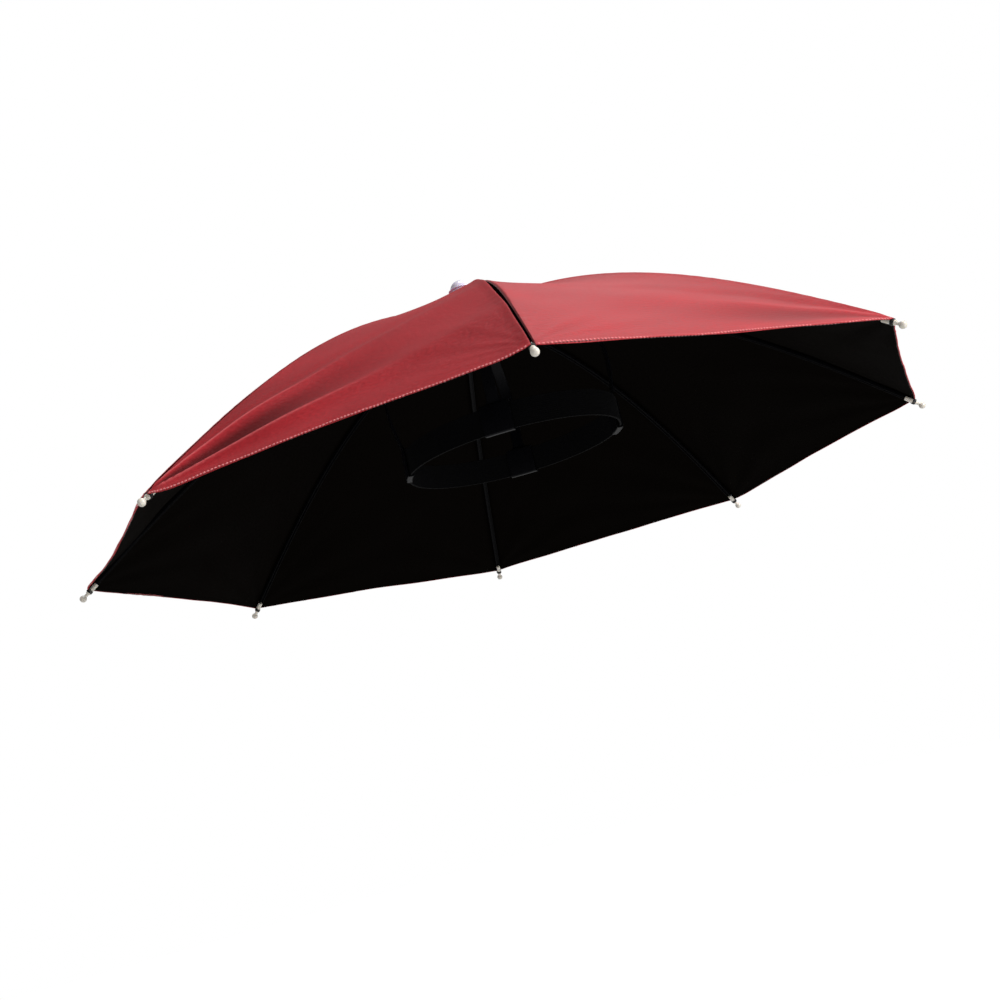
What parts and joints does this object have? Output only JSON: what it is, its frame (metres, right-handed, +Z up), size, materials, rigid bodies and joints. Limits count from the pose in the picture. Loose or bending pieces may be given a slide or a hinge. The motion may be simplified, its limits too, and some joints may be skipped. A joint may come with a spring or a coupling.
{
  "type": "umbrella hat",
  "caption": "Domed umbrella canopy on curved ribs, carried over the head by bowed arms that hold a stretch headband.",
  "frame": {"origin": "middle of the headband, where the hat sits on a head", "axes": "+Z up the canopy's axis, away from the head; -Y the way the wearer faces; +X to the wearer's left"},
  "size_m": [0.6749, 0.6753, 0.1952],
  "materials": {
    "canopy_cloth": "closely woven red polyester with a satin sheen, coated black underneath",
    "rib_metal": "black lacquered steel channel, semi-gloss",
    "tip_plastic": "moulded cream plastic, glossy",
    "cap_plastic": "milky translucent plastic with a faint violet tint, glossy",
    "hub_plastic": "black moulded plastic, fine satin",
    "arm_plastic": "black flexible plastic strip, semi-gloss",
    "band_elastic": "black knitted elastic tape, ribbed lengthwise, matt"
  },
  "bodies": {
    "root": {"canopy_panel_1": "canopy_cloth", "canopy_panel_2": "canopy_cloth", "canopy_panel_3": "canopy_cloth", "canopy_panel_4": "canopy_cloth", "canopy_panel_5": "canopy_cloth", "canopy_panel_6": "canopy_cloth", "canopy_panel_7": "canopy_cloth", "canopy_panel_8": "canopy_cloth", "rib_1": "rib_metal", "rib_2": "rib_metal", "rib_3": "rib_metal", "rib_4": "rib_metal", "rib_5": "rib_metal", "rib_6": "rib_metal", "rib_7": "rib_metal", "rib_8": "rib_metal", "rib_tip_1": "tip_plastic", "rib_tip_2": "tip_plastic", "rib_tip_3": "tip_plastic", "rib_tip_4": "tip_plastic", "rib_tip_5": "tip_plastic", "rib_tip_6": "tip_plastic", "rib_tip_7": "tip_plastic", "rib_tip_8": "tip_plastic", "hub": "hub_plastic", "top_cap": "cap_plastic", "harness_plate": "hub_plastic", "arm_1": "arm_plastic", "arm_2": "arm_plastic", "arm_3": "arm_plastic", "arm_4": "arm_plastic", "headband": "band_elastic"}
  },
  "joints": []
}
